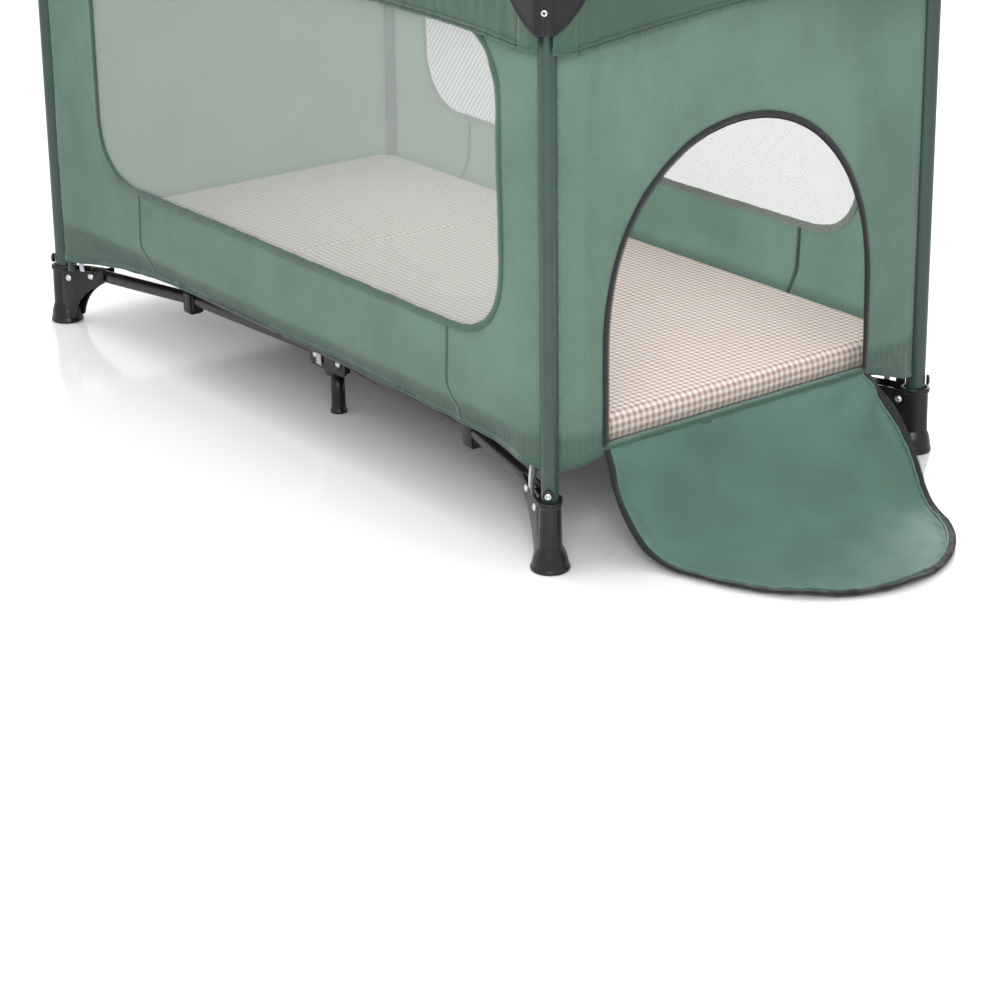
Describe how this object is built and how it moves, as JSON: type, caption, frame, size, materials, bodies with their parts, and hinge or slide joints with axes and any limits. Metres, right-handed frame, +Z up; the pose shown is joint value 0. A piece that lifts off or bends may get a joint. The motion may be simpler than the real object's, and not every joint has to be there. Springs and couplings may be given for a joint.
{
  "type": "playpen",
  "caption": "Rectangular folding travel cot with net side windows, an arched zipped end door, a padded floor mattress and a frame that folds at its top rails and base tubes.",
  "frame": {"origin": "on the floor, at the bottom centre of the whole box, open door flap included", "axes": "+X along the length towards the end with the door, +Y across the width towards the back long side, +Z up"},
  "size_m": [1.5234, 0.671, 0.775],
  "materials": {
    "frame_paint": "satin",
    "black_plastic": "gloss",
    "grey_tube": "satin",
    "steel": "polished",
    "green_cloth": "matte",
    "dark_green_cloth": "matte",
    "net": "matte",
    "gingham": "matte",
    "satin_green": "satin",
    "zip_tape": "matte",
    "webbing": "matte",
    "lining": "matte",
    "red_plastic": "satin"
  },
  "bodies": {
    "leg_fl": {"post_fl": "frame_paint", "foot_fl": "black_plastic", "corner_cap_fl": "black_plastic", "foot_pin_fl": "steel", "wall_front": "green_cloth", "mesh_window_front": "net", "wall_left": "green_cloth", "rail_sleeve_front": "dark_green_cloth", "rail_sleeve_left": "dark_green_cloth", "floor_sheet": "lining", "cross_strap": "webbing"},
    "tube_fl": {"base_tube_fl": "grey_tube", "tube_clip_fl": "black_plastic"},
    "leg_fr": {"post_fr": "frame_paint", "foot_fr": "black_plastic", "corner_cap_fr": "black_plastic", "foot_pin_fr": "steel", "wall_right": "green_cloth", "door_zip_track": "zip_tape", "rail_sleeve_right": "dark_green_cloth"},
    "tube_fr": {"base_tube_fr": "grey_tube", "tube_clip_fr": "black_plastic"},
    "leg_bl": {"post_bl": "frame_paint", "foot_bl": "black_plastic", "corner_cap_bl": "black_plastic", "foot_pin_bl": "steel", "wall_back": "green_cloth", "mesh_window_back": "net", "rail_sleeve_back": "dark_green_cloth"},
    "tube_bl": {"base_tube_bl": "grey_tube", "tube_clip_bl": "black_plastic"},
    "leg_br": {"post_br": "frame_paint", "foot_br": "black_plastic", "corner_cap_br": "black_plastic", "foot_pin_br": "steel"},
    "tube_br": {"base_tube_br": "grey_tube", "tube_clip_br": "black_plastic"},
    "housing_front": {"lock_housing_front": "black_plastic"},
    "button_front": {"lock_button_front": "red_plastic"},
    "rail_front_left": {"top_rail_front_left": "frame_paint"},
    "rail_front_right": {"top_rail_front_right": "frame_paint"},
    "housing_back": {"lock_housing_back": "black_plastic"},
    "button_back": {"lock_button_back": "red_plastic"},
    "rail_back_left": {"top_rail_back_left": "frame_paint"},
    "rail_back_right": {"top_rail_back_right": "frame_paint"},
    "housing_left": {"lock_housing_left": "black_plastic"},
    "button_left": {"lock_button_left": "red_plastic"},
    "rail_left_front": {"top_rail_left_front": "frame_paint"},
    "rail_left_back": {"top_rail_left_back": "frame_paint"},
    "housing_right": {"lock_housing_right": "black_plastic"},
    "button_right": {"lock_button_right": "red_plastic"},
    "rail_right_front": {"top_rail_right_front": "frame_paint"},
    "rail_right_back": {"top_rail_right_back": "frame_paint"},
    "hub_front": {"base_hub_front": "black_plastic", "support_leg_front": "black_plastic"},
    "hub_back": {"base_hub_back": "black_plastic", "support_leg_back": "black_plastic"},
    "mattress": {"mattress": "gingham"},
    "flap_upper": {"door_flap_upper": "satin_green"},
    "flap_lower": {"door_flap_lower": "satin_green"}
  },
  "joints": [
    {"name": "fold", "type": "hinge", "parent": "leg_fl", "child": "rail_front_left", "pos_m": [-0.68125, -0.31, 0.735], "axis": [0, 1, 0], "range_deg": [0, 88], "deforming": ["wall_front", "mesh_window_front", "wall_back", "mesh_window_back", "wall_left", "wall_right", "door_zip_track", "rail_sleeve_front", "rail_sleeve_back", "rail_sleeve_left", "rail_sleeve_right", "floor_sheet", "mattress", "cross_strap", "door_flap_upper", "door_flap_lower"]},
    {"name": "lock_front_left", "type": "hinge", "parent": "rail_front_left", "child": "housing_front", "pos_m": [-0.15925, -0.31, 0.735], "axis": [0, 1, 0], "range_deg": [-89, 0]},
    {"name": "lock_front_right", "type": "hinge", "parent": "housing_front", "child": "rail_front_right", "pos_m": [-0.10325, -0.31, 0.735], "axis": [0, 1, 0], "range_deg": [-89, 0]},
    {"name": "cap_front_right", "type": "hinge", "parent": "rail_front_right", "child": "leg_fr", "pos_m": [0.41875, -0.31, 0.735], "axis": [0, 1, 0], "range_deg": [0, 89]},
    {"name": "cap_left_front", "type": "hinge", "parent": "leg_fl", "child": "rail_left_front", "pos_m": [-0.73625, -0.255, 0.735], "axis": [-1, 0, 0], "range_deg": [0, 80.2]},
    {"name": "lock_left_front", "type": "hinge", "parent": "rail_left_front", "child": "housing_left", "pos_m": [-0.73625, -0.028, 0.735], "axis": [-1, 0, 0], "range_deg": [-80.2, 0]},
    {"name": "lock_left_back", "type": "hinge", "parent": "housing_left", "child": "rail_left_back", "pos_m": [-0.73625, 0.028, 0.735], "axis": [-1, 0, 0], "range_deg": [-80.2, 0]},
    {"name": "cap_left_back", "type": "hinge", "parent": "rail_left_back", "child": "leg_bl", "pos_m": [-0.73625, 0.255, 0.735], "axis": [-1, 0, 0], "range_deg": [0, 80.2]},
    {"name": "cap_right_front", "type": "hinge", "parent": "leg_fr", "child": "rail_right_front", "pos_m": [0.47375, -0.255, 0.735], "axis": [-1, 0, 0], "range_deg": [0, 80.2]},
    {"name": "lock_right_front", "type": "hinge", "parent": "rail_right_front", "child": "housing_right", "pos_m": [0.47375, -0.028, 0.735], "axis": [-1, 0, 0], "range_deg": [-80.2, 0]},
    {"name": "lock_right_back", "type": "hinge", "parent": "housing_right", "child": "rail_right_back", "pos_m": [0.47375, 0.028, 0.735], "axis": [-1, 0, 0], "range_deg": [-80.2, 0]},
    {"name": "cap_right_back", "type": "hinge", "parent": "rail_right_back", "child": "leg_br", "pos_m": [0.47375, 0.255, 0.735], "axis": [-1, 0, 0], "range_deg": [0, 80.2]},
    {"name": "cap_back_left", "type": "hinge", "parent": "leg_bl", "child": "rail_back_left", "pos_m": [-0.68125, 0.31, 0.735], "axis": [0, 1, 0], "range_deg": [0, 89]},
    {"name": "lock_back_left", "type": "hinge", "parent": "rail_back_left", "child": "housing_back", "pos_m": [-0.15925, 0.31, 0.735], "axis": [0, 1, 0], "range_deg": [-89, 0]},
    {"name": "cap_back_right", "type": "hinge", "parent": "leg_br", "child": "rail_back_right", "pos_m": [0.41875, 0.31, 0.735], "axis": [0, 1, 0], "range_deg": [-89, 0]},
    {"name": "foot_front_left", "type": "hinge", "parent": "leg_fl", "child": "tube_fl", "pos_m": [-0.68125, -0.285, 0.082], "axis": [0, 1, 0], "range_deg": [-89, 0]},
    {"name": "hub_front_left", "type": "hinge", "parent": "tube_fl", "child": "hub_front", "pos_m": [-0.15925, -0.21, 0.082], "axis": [0, 1, 0], "range_deg": [0, 89]},
    {"name": "foot_front_right", "type": "hinge", "parent": "leg_fr", "child": "tube_fr", "pos_m": [0.41875, -0.285, 0.082], "axis": [0, 1, 0], "range_deg": [0, 89]},
    {"name": "foot_back_left", "type": "hinge", "parent": "leg_bl", "child": "tube_bl", "pos_m": [-0.68125, 0.285, 0.082], "axis": [0, 1, 0], "range_deg": [-89, 0]},
    {"name": "hub_back_left", "type": "hinge", "parent": "tube_bl", "child": "hub_back", "pos_m": [-0.15925, 0.21, 0.082], "axis": [0, 1, 0], "range_deg": [0, 89]},
    {"name": "foot_back_right", "type": "hinge", "parent": "leg_br", "child": "tube_br", "pos_m": [0.41875, 0.285, 0.082], "axis": [0, 1, 0], "range_deg": [0, 89]},
    {"name": "mattress_lift", "type": "slide", "parent": "leg_fl", "child": "mattress", "axis": [0, 0, 1], "range_m": [0, 0.67]},
    {"name": "button_front_press", "type": "slide", "parent": "housing_front", "child": "button_front", "axis": [0, 0, 1], "range_m": [0, 0.004], "stiffness_N_per_m": 500, "springref_m": -0.002},
    {"name": "button_back_press", "type": "slide", "parent": "housing_back", "child": "button_back", "axis": [0, 0, 1], "range_m": [0, 0.004], "stiffness_N_per_m": 500, "springref_m": -0.002},
    {"name": "button_left_press", "type": "slide", "parent": "housing_left", "child": "button_left", "axis": [0, 0, 1], "range_m": [0, 0.004], "stiffness_N_per_m": 500, "springref_m": -0.002},
    {"name": "button_right_press", "type": "slide", "parent": "housing_right", "child": "button_right", "axis": [0, 0, 1], "range_m": [0, 0.004], "stiffness_N_per_m": 500, "springref_m": -0.002},
    {"name": "door", "type": "hinge", "parent": "leg_fr", "child": "flap_upper", "pos_m": [0.49275, -0.02, 0.137], "axis": [0, -1, 0], "range_deg": [0, 147.8]},
    {"name": "door_bend", "type": "hinge", "parent": "flap_upper", "child": "flap_lower", "pos_m": [0.57775, -0.02, 0.002], "axis": [0, -1, 0], "range_deg": [-58.8, 0]}
  ],
  "couplings": [
    {"joint": "lock_front_left", "follows": "fold", "ratio": -1},
    {"joint": "lock_front_right", "follows": "fold", "ratio": -1},
    {"joint": "cap_front_right", "follows": "fold", "ratio": 1},
    {"joint": "cap_left_front", "follows": "fold", "ratio": 0.9},
    {"joint": "lock_left_front", "follows": "fold", "ratio": -0.9},
    {"joint": "lock_left_back", "follows": "fold", "ratio": -0.9},
    {"joint": "cap_left_back", "follows": "fold", "ratio": 0.9},
    {"joint": "cap_right_front", "follows": "fold", "ratio": 0.9},
    {"joint": "lock_right_front", "follows": "fold", "ratio": -0.9},
    {"joint": "lock_right_back", "follows": "fold", "ratio": -0.9},
    {"joint": "cap_right_back", "follows": "fold", "ratio": 0.9},
    {"joint": "cap_back_left", "follows": "fold", "ratio": 1},
    {"joint": "lock_back_left", "follows": "fold", "ratio": -1},
    {"joint": "cap_back_right", "follows": "fold", "ratio": -1},
    {"joint": "foot_front_left", "follows": "fold", "ratio": -1},
    {"joint": "hub_front_left", "follows": "fold", "ratio": 1},
    {"joint": "foot_front_right", "follows": "fold", "ratio": 1},
    {"joint": "foot_back_left", "follows": "fold", "ratio": -1},
    {"joint": "hub_back_left", "follows": "fold", "ratio": 1},
    {"joint": "foot_back_right", "follows": "fold", "ratio": 1},
    {"joint": "mattress_lift", "follows": "fold", "m_per_rad": 0.42972},
    {"joint": "door_bend", "follows": "door", "ratio": -0.39109}
  ]
}
